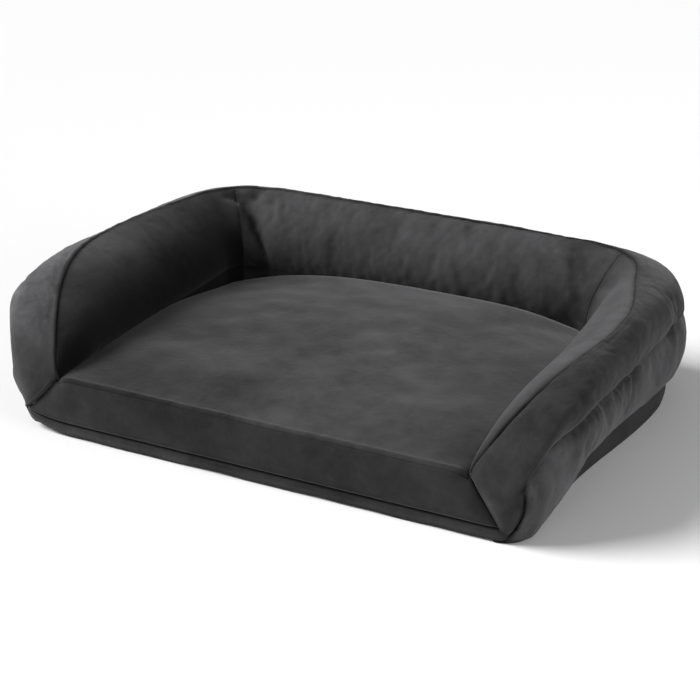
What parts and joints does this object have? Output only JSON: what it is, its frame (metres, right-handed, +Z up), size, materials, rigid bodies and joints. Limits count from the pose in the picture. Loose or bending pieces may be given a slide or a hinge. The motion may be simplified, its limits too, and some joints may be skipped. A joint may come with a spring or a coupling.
{
  "type": "dog sofa bed",
  "caption": "Rectangular foam dog bed with a leaning U-shaped bolster on three sides, an open front, a gathered outer skirt and a zip along the back of its base.",
  "frame": {"origin": "middle of the bed's outer box, on the floor under its flat underside", "axes": "+X across the bed, to the right as seen from its open front; +Y from the open front to the back; +Z up"},
  "size_m": [1.1706, 0.803, 0.266],
  "materials": {
    "velvet": "short-pile micro velvet, charcoal, soft sheen",
    "canvas": "plain-weave base cloth, charcoal, matt",
    "foam": "open-cell upholstery foam",
    "memory_foam": "slow-recovery foam",
    "filling": "loose polyester fibre in a thin bag",
    "zip_tape": "woven polyester tape",
    "zip_coil": "nylon coil",
    "zip_metal": "black enamel on die-cast zinc"
  },
  "bodies": {
    "bed": {"bottom_panel": "canvas", "support_foam": "foam", "comfort_foam": "memory_foam", "seat_panel": "velvet", "front_band": "velvet", "front_lip": "velvet", "left_boxing": "canvas", "right_boxing": "canvas", "back_boxing_lower": "canvas", "back_boxing_upper": "canvas", "left_inner_panel": "velvet", "right_inner_panel": "velvet", "back_inner_panel": "velvet", "outer_band": "velvet", "gathered_skirt": "velvet", "left_bolster_fill": "filling", "right_bolster_fill": "filling", "back_bolster_fill": "filling", "zip_tape_upper": "zip_tape", "zip_tape_lower": "zip_tape", "zip_coil_upper": "zip_coil", "zip_coil_lower": "zip_coil", "zip_stops": "zip_metal"},
    "zip_slider": {"zip_slider": "zip_metal"},
    "zip_pull": {"zip_pull_tab": "zip_metal"}
  },
  "joints": [
    {"name": "zip_slide", "type": "slide", "parent": "bed", "child": "zip_slider", "axis": [-1, 0, 0], "range_m": [0, 0.6244]},
    {"name": "pull_tab_turn", "type": "hinge", "parent": "zip_slider", "child": "zip_pull", "pos_m": [0.3122, 0.38285, 0.023], "axis": [0, 0, -1], "range_deg": [0, 165]}
  ]
}
